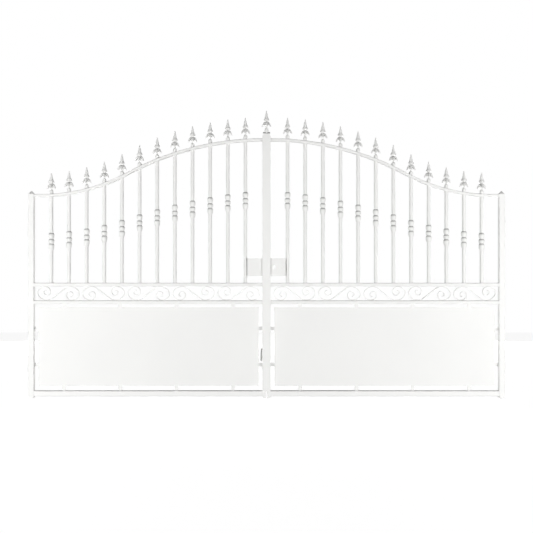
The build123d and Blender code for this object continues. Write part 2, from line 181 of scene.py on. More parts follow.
# %% Edge mask
def build_edge_mask():
    """1 on an edge and 0 on a flat: how far a normal rounded over the edge leans from the true one."""
    group, given, result = new_group(
        "edge_mask",
        [("Radius", "NodeSocketFloat", 0.002), ("Gain", "NodeSocketFloat", 4.0)],
        [("Mask", "NodeSocketFloat"), ("Rounded", "NodeSocketVector")],
    )
    link = group.links.new
    rounded = add_node(group, "ShaderNodeBevel", samples=6)
    shape = add_node(group, "ShaderNodeNewGeometry")
    lean = add_node(group, "ShaderNodeVectorMath", operation="DOT_PRODUCT")
    gap = add_node(group, "ShaderNodeMath", {0: 1.0}, operation="SUBTRACT")
    strength = add_node(group, "ShaderNodeMath", operation="MULTIPLY", use_clamp=True)
    link(given.outputs["Radius"], rounded.inputs["Radius"])
    link(rounded.outputs["Normal"], lean.inputs[0])
    link(shape.outputs["Normal"], lean.inputs[1])
    link(lean.outputs["Value"], gap.inputs[1])
    link(gap.outputs[0], strength.inputs[0])
    link(given.outputs["Gain"], strength.inputs[1])
    link(strength.outputs[0], result.inputs["Mask"])
    link(rounded.outputs["Normal"], result.inputs["Rounded"])
    return group


edge_mask = build_edge_mask()
print("group", edge_mask.name)


# %% Paint tone
def build_paint_tone():
    """Colour and gloss that drift slowly over the gate, and change a little along the edges."""
    group, given, result = new_group(
        "paint_tone",
        [
            ("Colour", "NodeSocketColor", (0.8, 0.8, 0.8, 1.0)),
            ("Cool", "NodeSocketColor", (0.76, 0.77, 0.78, 1.0)),
            ("Edge colour", "NodeSocketColor", (0.85, 0.85, 0.84, 1.0)),
            ("Edge", "NodeSocketFloat", 0.0),
            ("Rough", "NodeSocketFloat", 0.45),
            ("Rough swing", "NodeSocketFloat", 0.1),
        ],
        [("Colour", "NodeSocketColor"), ("Roughness", "NodeSocketFloat")],
    )
    link = group.links.new
    place = add_node(group, "ShaderNodeTexCoord")
    drift = add_node(group, "ShaderNodeTexNoise", {"Scale": 3.0, "Detail": 3.0})
    tone = add_node(group, "ShaderNodeMix", data_type="RGBA")
    edged = add_node(group, "ShaderNodeMix", data_type="RGBA")
    spots = add_node(group, "ShaderNodeTexNoise", {"Scale": 45.0, "Detail": 4.0})
    centred = add_node(group, "ShaderNodeMath", {1: 0.5}, operation="SUBTRACT")
    swing = add_node(group, "ShaderNodeMath", operation="MULTIPLY_ADD")
    link(place.outputs["Object"], drift.inputs["Vector"])
    link(place.outputs["Object"], spots.inputs["Vector"])
    link(drift.outputs["Fac"], tone.inputs["Factor"])
    link(given.outputs["Colour"], tone.inputs["A"])
    link(given.outputs["Cool"], tone.inputs["B"])
    link(given.outputs["Edge"], edged.inputs["Factor"])
    link(tone.outputs["Result"], edged.inputs["A"])
    link(given.outputs["Edge colour"], edged.inputs["B"])
    link(spots.outputs["Fac"], centred.inputs[0])
    link(centred.outputs[0], swing.inputs[0])
    link(given.outputs["Rough swing"], swing.inputs[1])
    link(given.outputs["Rough"], swing.inputs[2])
    link(edged.outputs["Result"], result.inputs["Colour"])
    link(swing.outputs[0], result.inputs["Roughness"])
    return group


paint_tone = build_paint_tone()
print("group", paint_tone.name)

# %% [markdown]
# Faces that look up get a painted shade: their colour is mixed towards grey, a little on the smooth tops of the
# rails and more on the coarse shoulders of the castings. It could be painted on by hand, but how far a face looks up
# is simply the height part of its normal, so one group works it out for every piece.


# %% Painted shade on faces that look up
def build_painted_top_shade():
    """Share of painted shade: how far the face looks up, past a start, times a gain, broken up by a fine noise."""
    group, given, result = new_group(
        "painted_top_shade",
        [("Start", "NodeSocketFloat", 0.15), ("Gain", "NodeSocketFloat", 2.0), ("Most", "NodeSocketFloat", 0.85)],
        [("Shade", "NodeSocketFloat")],
    )
    link = group.links.new
    shape = add_node(group, "ShaderNodeNewGeometry")
    axes = add_node(group, "ShaderNodeSeparateXYZ")
    past = add_node(group, "ShaderNodeMath", operation="SUBTRACT")
    gained = add_node(group, "ShaderNodeMath", operation="MULTIPLY", use_clamp=True)
    place = add_node(group, "ShaderNodeTexCoord")
    specks = add_node(group, "ShaderNodeTexNoise", {"Scale": 140.0, "Detail": 4.0})
    patchy = add_node(group, "ShaderNodeMapRange", {"From Min": 0.3, "From Max": 0.7, "To Min": 0.7, "To Max": 1.0})
    broken = add_node(group, "ShaderNodeMath", operation="MULTIPLY")
    most = add_node(group, "ShaderNodeMath", operation="MULTIPLY")
    link(shape.outputs["Normal"], axes.inputs["Vector"])
    link(axes.outputs["Z"], past.inputs[0])
    link(given.outputs["Start"], past.inputs[1])
    link(past.outputs[0], gained.inputs[0])
    link(given.outputs["Gain"], gained.inputs[1])
    link(place.outputs["Object"], specks.inputs["Vector"])
    link(specks.outputs["Fac"], patchy.inputs["Value"])
    link(gained.outputs[0], broken.inputs[0])
    link(patchy.outputs["Result"], broken.inputs[1])
    link(broken.outputs[0], most.inputs[0])
    link(given.outputs["Most"], most.inputs[1])
    link(most.outputs[0], result.inputs["Shade"])
    return group


painted_top_shade = build_painted_top_shade()
print("group", painted_top_shade.name)

# %% [markdown]
# ## Materials that use the groups
#
# The shader itself stays in each material, with its plain numbers set on its own sockets, and only what changes over
# the surface comes from the groups. The tubes are smooth and keep crisp corners, the finials and knuckles are cast and
# have a coarser skin, and the thin sheet shows a long, shallow waviness.

# %% Powder coat material
PAINT_WHITE = (0.83, 0.83, 0.815)
PAINT_COOL = (0.80, 0.80, 0.79)
PAINT_EDGE = (0.86, 0.86, 0.85)
PAINT_SPECULAR = 0.12
# The grey of the painted shade that darkens faces looking up.
PAINTED_SHADE_GREY = (0.18, 0.18, 0.176)


def powder_coat(name, grain, swell, depth, rough, edge_radius, shade_start=0.15, shade_most=0.35):
    """White powder coat: grain per metre, skin depth in metres, roughness, edge radius, and where the painted shade on
    upward faces starts and how strong it gets at most.
    """
    material = bpy.data.materials.new(name)
    material.use_nodes = True
    tree = material.node_tree
    link = tree.links.new
    shader = tree.nodes["Principled BSDF"]
    shader.inputs["Specular IOR Level"].default_value = PAINT_SPECULAR
    edge = add_node(tree, "ShaderNodeGroup", node_tree=edge_mask)
    edge.inputs["Radius"].default_value = edge_radius
    tone = add_node(tree, "ShaderNodeGroup", node_tree=paint_tone)
    tone.inputs["Colour"].default_value = (*PAINT_WHITE, 1.0)
    tone.inputs["Cool"].default_value = (*PAINT_COOL, 1.0)
    tone.inputs["Edge colour"].default_value = (*PAINT_EDGE, 1.0)
    tone.inputs["Rough"].default_value = rough
    skin = add_node(tree, "ShaderNodeGroup", node_tree=orange_peel)
    skin.inputs["Grain per metre"].default_value = grain
    skin.inputs["Swell share"].default_value = swell
    bump = add_node(tree, "ShaderNodeBump", {"Distance": depth})
    # Painted shade: the colour is mixed towards grey where a face looks up.
    top_shade = add_node(tree, "ShaderNodeGroup", node_tree=painted_top_shade)
    top_shade.inputs["Start"].default_value = shade_start
    top_shade.inputs["Most"].default_value = shade_most
    top_shaded = add_node(tree, "ShaderNodeMix", data_type="RGBA")
    top_shaded.inputs["B"].default_value = (*PAINTED_SHADE_GREY, 1.0)
    link(edge.outputs["Mask"], tone.inputs["Edge"])
    link(top_shade.outputs["Shade"], top_shaded.inputs["Factor"])
    link(tone.outputs["Colour"], top_shaded.inputs["A"])
    link(top_shaded.outputs["Result"], shader.inputs["Base Color"])
    link(tone.outputs["Roughness"], shader.inputs["Roughness"])
    link(skin.outputs["Height"], bump.inputs["Height"])
    link(edge.outputs["Rounded"], bump.inputs["Normal"])
    link(bump.outputs["Normal"], shader.inputs["Normal"])
    return material


tube_paint = powder_coat("powder_coat_on_tube", grain=420, swell=0.4, depth=0.00006, rough=0.6, edge_radius=0.0015)
cast_skin = {"grain": 260, "swell": 0.3, "depth": 0.0001, "rough": 0.62, "edge_radius": 0.001}
# The castings take the most painted shade on their shoulders, the finials less and only where they look well up.
cast_paint = powder_coat("powder_coat_on_casting", **cast_skin, shade_most=0.8)
finial_paint = powder_coat("powder_coat_on_finial", **cast_skin, shade_start=0.5, shade_most=0.7)
sheet_paint = powder_coat("powder_coat_on_sheet", grain=380, swell=0.7, depth=0.0001, rough=0.58, edge_radius=0.0006)
weld_paint = powder_coat("powder_coat_on_weld", grain=600, swell=0.3, depth=0.00015, rough=0.62, edge_radius=0.0004)
print("paints:", [paint.name for paint in (tube_paint, cast_paint, finial_paint, sheet_paint, weld_paint)])

# %% [markdown]
# ## Zinc
#
# Hinge pins and anchor bolts are zinc plated. Plating is bright but not a mirror: its gloss changes over small
# patches, and fine turning lines run round a pin. Cells of a Voronoi pattern give the patches, and a wave along the
# height gives the lines.

# %% Zinc material
ZINC_LIGHT = (0.66, 0.67, 0.68)
ZINC_DARK = (0.50, 0.51, 0.53)


def zinc_plate(name):
    """Metal with small patches of different gloss and fine turned lines."""
    material = bpy.data.materials.new(name)
    material.use_nodes = True
    tree = material.node_tree
    link = tree.links.new
    shader = tree.nodes["Principled BSDF"]
    shader.inputs["Metallic"].default_value = 1.0
    place = add_node(tree, "ShaderNodeTexCoord")
    patches = add_node(tree, "ShaderNodeTexVoronoi", {"Scale": 260.0})
    rough = add_node(tree, "ShaderNodeMapRange", {"To Min": 0.28, "To Max": 0.44})
    colour = add_node(tree, "ShaderNodeMix", data_type="RGBA")
    colour.inputs["A"].default_value = (*ZINC_DARK, 1.0)
    colour.inputs["B"].default_value = (*ZINC_LIGHT, 1.0)
    lines = add_node(tree, "ShaderNodeTexWave", {"Scale": 700.0}, bands_direction="Z")
    bump = add_node(tree, "ShaderNodeBump", {"Distance": 0.00005})
    link(place.outputs["Object"], patches.inputs["Vector"])
    link(place.outputs["Object"], lines.inputs["Vector"])
    link(patches.outputs["Color"], rough.inputs["Value"])
    link(patches.outputs["Color"], colour.inputs["Factor"])
    link(rough.outputs["Result"], shader.inputs["Roughness"])
    link(colour.outputs["Result"], shader.inputs["Base Color"])
    link(lines.outputs["Fac"], bump.inputs["Height"])
    link(bump.outputs["Normal"], shader.inputs["Normal"])
    return material


zinc = zinc_plate("zinc_plate")
print("metal:", zinc.name)

# %% [markdown]
# ## Painting the CAD pieces
#
# A CAD piece keeps its shape, so it only gets a material in its slots. Its name says how it was made. The CAD castings
# are painted too, although fuller ones stand in for them further down.


# %% Paint every CAD piece
def finish_for(name):
    """The finish that a CAD piece takes, from what it is."""
    if "pins" in name:
        return zinc
    if "spearhead" in name or "knuckle" in name:
        return cast_paint
    if "panel" in name and "tabs" not in name:
        return sheet_paint
    return tube_paint


for name, piece in nodes.items():
    for holder in piece.material_slots:
        holder.material = finish_for(name)
print("painted", len(nodes), "CAD pieces")

# %% [markdown]
# ## Surfaces from grids
#
# Everything added below is one kind of shape: a grid of points worked out from two numbers, along and around. A
# helper turns such a grid into faces once, so each piece only has to say where its points lie. A grid that closes
# along its length as well is a ring, and any other gets a flat cap at each end.


# %% Grid to faces
def grid_faces(along, around, ring, start):
    """Faces of a grid that closes around: quads between neighbours, counted from a first vertex."""
    rows = along if ring else along - 1
    row, column = np.meshgrid(np.arange(rows), np.arange(around), indexing="ij")
    next_row, next_column = (row + 1) % along, (column + 1) % around
    corners = [row * around + column, row * around + next_column,
               next_row * around + next_column, next_row * around + column]
    faces = (np.stack(corners, axis=-1).reshape(-1, 4) + start).tolist()
    if not ring:
        first_cap = np.arange(around)[::-1] + start
        last_cap = np.arange(around) + (along - 1) * around + start
        faces += [first_cap.tolist(), last_cap.tolist()]
    return faces


# %% Grids to a piece
SHARP_ANGLE = np.radians(35)


def make_piece(name, grids, material, body, mirror=False):
    """One mesh object from pairs of a grid, of shape (along, around, 3), and whether it is a ring.

    Mirrored, x becomes twice the centre line less x, and the faces turn over."""
    vertices, faces, count = [], [], 0
    for grid, ring in grids:
        points = grid.reshape(-1, 3).copy()
        if mirror:
            points[:, 0] = 2 * CENTRE_X - points[:, 0]
        made = grid_faces(grid.shape[0], grid.shape[1], ring, count)
        faces += [face[::-1] for face in made] if mirror else made
        vertices.append(points)
        count += len(points)
    mesh = bpy.data.meshes.new(name)
    mesh.from_pydata(np.concatenate(vertices).tolist(), [], faces)
    mesh.shade_smooth()
    mesh.set_sharp_from_angle(angle=SHARP_ANGLE)
    mesh.materials.append(material)
    piece = bpy.data.objects.new(name, mesh)
    bpy.context.scene.collection.objects.link(piece)
    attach(piece, body)
    print(name, "has", len(faces), "faces in", len(grids), "parts")
    return piece


def weld_both(label, beads):
    """The same beads on the right leaf and, mirrored, on the left one."""
    make_piece(f"right_{label}", beads, weld_paint, "right_leaf")
    make_piece(f"left_{label}", beads, weld_paint, "left_leaf", mirror=True)


# %% [markdown]
# ## Weld beads
#
# Where two pieces of steel meet at a corner, a welder lays a bead of small overlapping ripples along it. Where they
# lie flush, as on the front of the frame, the bead is ground away. A bead is a thin tube along the corner, half sunk
# in both pieces. Its radius swells and shrinks along its length, and that gives the ripples.

# %% Bead along a path
BEAD_RADIUS = 0.0024
RIPPLE_LENGTH = 0.0045
RIPPLE_SHARE = 0.14
STEPS_PER_RIPPLE = 4
BEAD_SIDES = 8
UPRIGHT = 0.9


def bead(path, radius=BEAD_RADIUS, ring=False):
    """A tube round a path, with radius times one plus a share of the cosine of the length run so far.

    Each circle of the tube lies square to the path, between a helper direction and the path's own. The helper is z,
    and y for a path that runs upright."""
    path = np.asarray(path, dtype=float)
    steps = np.linalg.norm(np.diff(path, axis=0), axis=1)
    run = np.concatenate([[0.0], np.cumsum(steps)])
    ripples = max(2, round(run[-1] / RIPPLE_LENGTH))
    share = np.linspace(0, 1, ripples * STEPS_PER_RIPPLE + 1)
    if ring:
        share = share[:-1]
    points = np.stack([np.interp(share * run[-1], run, path[:, axis]) for axis in range(3)], axis=1)
    ahead = np.roll(points, -1, axis=0) - np.roll(points, 1, axis=0) if ring else np.gradient(points, axis=0)
    ahead /= np.linalg.norm(ahead, axis=1, keepdims=True)
    helper = np.array([0.0, 0.0, 1.0] if np.abs(ahead[:, 2]).max() < UPRIGHT else [0.0, 1.0, 0.0])
    side = np.cross(ahead, helper)
    side /= np.linalg.norm(side, axis=1, keepdims=True)
    up = np.cross(side, ahead)
    swell = radius * (1 + RIPPLE_SHARE * np.cos(2 * np.pi * ripples * share))
    angle = np.linspace(0, 2 * np.pi, BEAD_SIDES, endpoint=False)
    circle = np.cos(angle)[None, :, None] * side[:, None, :] - np.sin(angle)[None, :, None] * up[:, None, :]
    return points[:, None, :] + swell[:, None, None] * circle, ring


def straight_beads(fixed, between, axis):
    """Straight beads along one axis, each from a pair of ends on it and a place on the two other axes."""
    made = []
    for place in fixed:
        ends = np.array([place, place], dtype=float)
        ends[:, axis] = between
        made.append(bead(ends))
    return made


print("a ripple is", RIPPLE_LENGTH * 1000, "mm long on a bead of radius", BEAD_RADIUS * 1000, "mm")

# %% [markdown]
# The level rails are welded to both stiles above and below, where the grinder does not reach. The tabs are welded to
# the rails, to the stiles and to the back of the sheet they carry, and each scroll is tacked where it touches a rail.

# %% Beads at the ends of the level rails
END_INSET = 0.005


def rail_end_beads():
    """Beads through the depth of the frame, above and below each level rail, at both its ends."""
    made = []
    for name in ("right_bottom_rail", "right_lower_band_rail", "right_upper_band_rail"):
        low, high = box_of(name)
        corners = [(x, 0, z) for x in (low[0], high[0]) for z in (low[2], high[2])]
        made += straight_beads(corners, (FRONT_Y + END_INSET, BACK_Y - END_INSET), 1)
    return made


weld_both("rail_welds", rail_end_beads())

# %% Beads on the tabs
TAB_REACH = 0.1


def tab_beads():
    """Beads where each tab meets its rail or stile, on both its faces, and where it ends behind the sheet."""
    points = points_of("right_panel_tabs")
    low, high = points.min(axis=0), points.max(axis=0)
    sheet_low, sheet_high = box_of("right_panel")
    made = []
    for axis, along, foot, lap in ((0, 2, low[2], sheet_low[2]), (0, 2, high[2], sheet_high[2]),
                                   (2, 0, low[0], sheet_low[0]), (2, 0, high[0], sheet_high[0])):
        near = points[np.abs(points[:, along] - foot) < TOUCH]
        reach = points[np.abs(points[:, along] - lap) < TAB_REACH]
        inner = reach[:, along].max() if foot < lap else reach[:, along].min()
        for ends in islands(near[:, axis], NEIGHBOUR_GAP):
            for y, level in ((low[1], foot), (high[1], foot), (low[1], inner)):
                place = np.zeros(3)
                place[1], place[along] = y, level
                made += straight_beads([place], ends, axis)
    return made


weld_both("tab_welds", tab_beads())

# %% Tacks on the scrolls
TACK_LENGTH = 0.012
TACK_REACH = 0.001


def scroll_tacks():
    """A short bead in front of and behind each place where a scroll's bend touches a rail."""
    points = points_of("right_scrolls")
    low, high = points.min(axis=0), points.max(axis=0)
    made = []
    for level in (low[2], high[2]):
        touching = points[np.abs(points[:, 2] - level) < TACK_REACH]
        for first, last in islands(touching[:, 0], NEIGHBOUR_GAP):
            middle = (first + last) / 2
            ends = (middle - TACK_LENGTH / 2, middle + TACK_LENGTH / 2)
            made += straight_beads([(0, low[1], level), (0, high[1], level)], ends, 0)
    return made


weld_both("scroll_tacks", scroll_tacks())

# %% [markdown]
# ## Beads round the bars and under the swan neck
#
# The bars end under a rail that slopes and bends, so a bead there is a ring that climbs with it. Its height at each
# point is felt out with a ray against the CAD rail, so no formula of the neck has to be repeated here. The foot of
# each finial gets a thinner ring on top of the rail.

# %% Height of the rail
RAY_START = 3.0
RING_STEPS = 24


def rail_skin(x, y, upper):
    """Height of the top rail's outside at a place, felt with a ray from above or from below."""
    start, way = (RAY_START, -1) if upper else (-RAY_START, 1)
    _, where, _, _ = nodes["right_top_rail"].ray_cast((x, y, start), (0, 0, way))
    return where[2]


def ring_path(x, radius, height_at):
    """A closed circle round a bar, with its height given by a function of x and y."""
    angle = np.linspace(0, 2 * np.pi, RING_STEPS + 1)
    xs, ys = x + radius * np.cos(angle), MIDDLE_Y + radius * np.sin(angle)
    return [(a, b, height_at(a, b)) for a, b in zip(xs, ys)]


# %% Beads round the bars and the finials
FINIAL_FOOT_RADIUS = 0.012
FINIAL_BEAD_RADIUS = 0.0018


def bar_beads():
    """A ring at each bar's foot, one under the top rail and one round the finial's foot."""
    made = []
    for x in bar_places:
        foot = ring_path(x, BAR_RADIUS, lambda a, b: BAR_FOOT_Z)
        head = ring_path(x, BAR_RADIUS, lambda a, b: rail_skin(a, b, False))
        seat = ring_path(x, FINIAL_FOOT_RADIUS, lambda a, b: rail_skin(a, b, True))
        made += [bead(foot, ring=True), bead(head, ring=True), bead(seat, FINIAL_BEAD_RADIUS, ring=True)]
    return made


weld_both("bar_welds", bar_beads())

# %% Beads at the ends of the swan neck
NECK_INSET = 0.0005


def neck_end_beads():
    """Beads through the depth of the frame above and below the top rail, at both stiles."""
    made = []
    hanging_face, meeting_face = hanging_low[0], meeting_high[0]
    for x, inside in ((hanging_face, hanging_face - NECK_INSET), (meeting_face, meeting_face + NECK_INSET)):
        for upper in (True, False):
            place = (x, 0, rail_skin(inside, MIDDLE_Y, upper))
            made += straight_beads([place], (FRONT_Y + END_INSET, BACK_Y - END_INSET), 1)
    return made


weld_both("neck_welds", neck_end_beads())

# %% [markdown]
# ## Beads at the lock, the hinges and the drop bolt
#
# The lock case and the keeper case are welded to the meeting stile along their backs. Their front seams lie under the
# cover strip, which closes flat over them, so there is no bead in front. Each hinge eye has a bead down both sides of
# its strap, each bracket one above and one below its arm, and each guide of the drop bolt one down both its sides.
# The upright ones follow z, and the others run through the depth of the gate.


# %% Beads on the cases
def case_beads(name, stile_x):
    """An upright bead where the back of a case meets the stile."""
    low, high = box_of(name)
    return straight_beads([(stile_x, high[1], 0)], (low[2], high[2]), 2)


right_case = case_beads("right_lock_case", meeting_high[0])
left_case = case_beads("left_keeper_case", left_meeting_low[0])
make_piece("right_case_welds", right_case, weld_paint, "right_leaf")
make_piece("left_case_welds", left_case, weld_paint, "left_leaf")


# %% Beads on the hinge straps
def strap_beads():
    """Upright beads on both sides of each hinge strap, behind the hanging stile."""
    points = points_of("right_hinge_eyes")
    touching = points[np.abs(points[:, 1] - BACK_Y) < TOUCH]
    sides = islands(touching[:, 0], NEIGHBOUR_GAP)[0]
    made = []
    for rows in hinge_rows:
        made += straight_beads([(x, BACK_Y, 0) for x in sides], rows, 2)
    return made


weld_both("strap_welds", strap_beads())

# %% Beads on the bracket arms
PLATE_THICKNESS = 0.006


def arm_beads(name):
    """Beads above and below the arm where it leaves the plate, running through the depth of the gate."""
    points = points_of(name)
    low, high = points.min(axis=0), points.max(axis=0)
    right = low[0] > CENTRE_X
    face = high[0] - PLATE_THICKNESS if right else low[0] + PLATE_THICKNESS
    arm = points[points[:, 0] < face - TOUCH] if right else points[points[:, 0] > face + TOUCH]
    arm_low, arm_high = arm.min(axis=0), arm.max(axis=0)
    return straight_beads([(face, 0, arm_low[2]), (face, 0, arm_high[2])], (arm_low[1], arm_high[1]), 1)


brackets = [name for name in nodes if name.endswith("hinge_bracket")]
bracket_beads = [made for name in brackets for made in arm_beads(name)]
make_piece("bracket_welds", bracket_beads, weld_paint, "pillar_hinges")


# %% Beads on the bolt guides
def guide_beads():
    """Upright beads on both sides of each guide, behind the left meeting stile."""
    points = points_of("bolt_guides")
    low, high = points.min(axis=0), points.max(axis=0)
    made = []
    for rows in islands(points[:, 2], ROW_GAP):
        made += straight_beads([(low[0], BACK_Y, 0), (high[0], BACK_Y, 0)], rows, 2)
    return made


make_piece("guide_welds", guide_beads(), weld_paint, "left_leaf")

# %% [markdown]
# ## The cast knuckles
#
# Each bar carries a cast collar of three swells. A swell bulges out quickly under its neck and then tapers slowly to
# the next one, so low light leaves its shoulder dark and its belly bright. The CAD collar is milder than the cast one,
# and pushing its vertices about would not give it more curve. A fuller collar stands in its place: a profile of radius
# against height, carried once round the bar.


# %% Revolved shapes
def revolved(centre, radii, heights, sides, ring):
    """Points at each radius and height, carried round an upright axis: x and y are radius times cosine and sine.

    An open profile climbs, and its circles are the rows. A closed one runs down outside and up its bore, and its
    copies at each angle are the rows."""
    angle = np.linspace(0, 2 * np.pi, sides, endpoint=False)
    radii, heights = np.asarray(radii, dtype=float), np.asarray(heights, dtype=float)
    x = centre[0] + radii[:, None] * np.cos(angle)
    y = centre[1] + radii[:, None] * np.sin(angle)
    z = centre[2] + heights[:, None] + np.zeros(sides)
    grid = np.stack([x, y, z], axis=-1)
    return (grid.transpose(1, 0, 2) if ring else grid), ring


# %% Profile of a collar
KNUCKLE_NECK = BAR_RADIUS + 0.0004
KNUCKLE_BELLY = 0.0218
KNUCKLE_SHOULDERS = (0.0175, 0.0150, 0.0175)
KNUCKLE_TAPERS = (0.0270, 0.0190, 0.0310)
SWELL_STEPS = 7
KNUCKLE_SIDES = 24


def swell_profile(top, shoulder, taper):
    """Radius and height of one swell, from its top down: two quarters of an ellipse, cut off at the neck.

    The radius is the belly times the cosine of an angle that runs evenly from the neck, up to 0 at the belly and
    down again. The height is the belly's, plus or minus the sine of the angle over its sine at the neck, times the
    length of the shoulder or the taper."""
    neck = np.arccos(KNUCKLE_NECK / KNUCKLE_BELLY)
    down, on = np.linspace(neck, 0, SWELL_STEPS), np.linspace(0, neck, SWELL_STEPS)[1:-1]
    radii = KNUCKLE_BELLY * np.cos(np.concatenate([down, on]))
    above, below = np.sin(down) / np.sin(neck) * shoulder, np.sin(on) / np.sin(neck) * taper
    return radii, top - shoulder + np.concatenate([above, -below])


def knuckle_profile():
    """The three swells end to end, and the bore back up to the top."""
    half = (sum(KNUCKLE_SHOULDERS) + sum(KNUCKLE_TAPERS)) / 2
    parts, top = [], half
    for shoulder, taper in zip(KNUCKLE_SHOULDERS, KNUCKLE_TAPERS):
        parts.append(swell_profile(top, shoulder, taper))
        top -= shoulder + taper
    parts.append(([KNUCKLE_NECK, BAR_RADIUS, BAR_RADIUS], [-half, -half, half]))
    return [np.concatenate(values) for values in zip(*parts)]


# %% A collar on each bar
def collars():
    """A collar at the height of each CAD knuckle, found from the vertices round its bar."""
    points = points_of("right_bar_knuckles")
    radii, heights = knuckle_profile()
    made = []
    for x in bar_places:
        own = points[np.abs(points[:, 0] - x) < NEAR_BAR, 2]
        centre = (x, MIDDLE_Y, (own.min() + own.max()) / 2)
        made.append(revolved(centre, radii, heights, KNUCKLE_SIDES, True))
    return made


bar_collars = collars()
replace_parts(make_piece("right_collars", bar_collars, cast_paint, "right_leaf"), "right_bar_knuckles")
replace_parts(make_piece("left_collars", bar_collars, cast_paint, "left_leaf", mirror=True),
            "left_bar_knuckles")

# %% [markdown]
# ## The cast finials
#
# A finial is a turned core, with a spear blade over a flared collar and a ball at its foot, and four leaves that
# droop round its stem. Seen close by, a leaf is a strap that arches out and down, hollow underneath, with its edges
# bent down more than its middle. That is a section carried along an arch, while the core is another turned profile.

# %% Core of a finial
FINIAL_HEIGHT = 0.157
BALL_RADII = (FINIAL_FOOT_RADIUS, FINIAL_FOOT_RADIUS, 0.0134, 0.0144, 0.0146, 0.0136, 0.0113, 0.0082, 0.0052)
BALL_HEIGHTS = (-0.008, 0.001, 0.005, 0.011, 0.016, 0.0215, 0.026, 0.0295, 0.0325)
STEM_RADII = (0.0048, 0.0052, 0.0085, 0.0095, 0.0092)
STEM_HEIGHTS = (0.036, 0.058, 0.068, 0.074, 0.079)
BLADE_RADII = (0.0150, 0.0205, 0.0212, 0.0206, 0.0165, 0.0134, 0.0118, 0.0092, 0.0055, 0.0020, 0.0010)
BLADE_HEIGHTS = (0.082, 0.085, 0.0875, 0.0905, 0.0975, 0.104, 0.112, 0.125, 0.140, 0.156, FINIAL_HEIGHT)
CORE_SIDES = 20


def finial_core(seat):
    """The turned core on its seat, from its sunk foot up to the tip: the ball, the stem and the blade."""
    radii, heights = BALL_RADII + STEM_RADII + BLADE_RADII, BALL_HEIGHTS + STEM_HEIGHTS + BLADE_HEIGHTS
    return revolved(seat, radii, heights, CORE_SIDES, False)


# %% One drooping leaf
LEAF_COUNT = 4
LEAF_ARCH = ((0.004, 0.076), (0.012, 0.0755), (0.020, 0.071), (0.0262, 0.063), (0.0305, 0.053), (0.0330, 0.044),
             (0.0338, 0.038))
LEAF_WIDTHS = (0.0070, 0.0100, 0.0112, 0.0108, 0.0090, 0.0056, 0.0018)
LEAF_DROOPS = (0.003, 0.0075, 0.0095, 0.0098, 0.0080, 0.0045, 0.0010)
LEAF_THICKNESS = 0.0032
LEAF_STEPS = 13
LEAF_ACROSS = 9


def finial_leaf(seat, turn):
    """A strap along the arch, turned about the stem by an angle.

    Across it, v runs from 1 to -1: a point lies at the arch plus v times the width sideways, less v squared times
    the droop along the arch's normal. The under side lies one thickness lower and comes back from -1 to 1."""
    arch = np.array(LEAF_ARCH)
    knots, steps = np.linspace(0, 1, len(arch)), np.linspace(0, 1, LEAF_STEPS)
    out, rise = (np.interp(steps, knots, arch[:, axis]) for axis in range(2))
    width, droop = np.interp(steps, knots, LEAF_WIDTHS), np.interp(steps, knots, LEAF_DROOPS)
    run = np.stack([np.gradient(out), np.gradient(rise)], axis=1)
    run /= np.linalg.norm(run, axis=1, keepdims=True)
    upper = np.linspace(1, -1, LEAF_ACROSS)
    v = np.concatenate([upper, upper[::-1]])
    lower = np.repeat([0.0, LEAF_THICKNESS], LEAF_ACROSS)
    sink = droop[:, None] * v ** 2 + lower
    along = out[:, None] + run[:, 1:] * sink
    z = rise[:, None] - run[:, :1] * sink
    side = width[:, None] * v
    x = seat[0] + along * np.cos(turn) - side * np.sin(turn)
    y = seat[1] + along * np.sin(turn) + side * np.cos(turn)
    return np.stack([x, y, seat[2] + z], axis=-1), False


def finial(seat):
    """The core and its leaves."""
    turns = np.arange(LEAF_COUNT) * 2 * np.pi / LEAF_COUNT
    return [finial_core(seat)] + [finial_leaf(seat, turn) for turn in turns]


# %% A finial over each bar and one in the middle
def rail_finials():
    """A finial under the tip of each CAD spearhead, found from the vertices over its bar."""
    points = points_of("right_spearheads")
    made = []
    for x in bar_places:
        tip = points[np.abs(points[:, 0] - x) < NEAR_BAR, 2].max()
        made += finial((x, MIDDLE_Y, tip - FINIAL_HEIGHT))
    return made


bar_finials = rail_finials()
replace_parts(make_piece("right_finials", bar_finials, finial_paint, "right_leaf"), "right_spearheads")
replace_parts(make_piece("left_finials", bar_finials, finial_paint, "left_leaf", mirror=True),
            "left_spearheads")
spear_low, spear_high = box_of("middle_spearhead")
middle_seat = (CENTRE_X, (spear_low[1] + spear_high[1]) / 2, spear_high[2] - FINIAL_HEIGHT)
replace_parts(make_piece("middle_finial", finial(middle_seat), finial_paint, "left_leaf"),
            "middle_spearhead")

# %% [markdown]
# The middle finial stands on a cast block. Its foot leans out to a rim, and above the rim its front and back lean in
# like a roof, up to a ridge. Its section at each height is a rectangle with rounded corners, so it is one more grid,
# and half its length, half its depth and its share of the full height say where each section lies.

# %% The block under the middle finial
BLOCK_HALF_LENGTHS = (0.0225, 0.0232, 0.0262, 0.0265, 0.0262, 0.0256, 0.0246)
BLOCK_HALF_DEPTHS = (0.0125, 0.0130, 0.0148, 0.0150, 0.0145, 0.0062, 0.0050)
BLOCK_SHARES = (0.0, 0.03, 0.34, 0.38, 0.42, 0.97, 1.0)
BLOCK_CORNER = 0.0025
CORNER_STEPS = 4


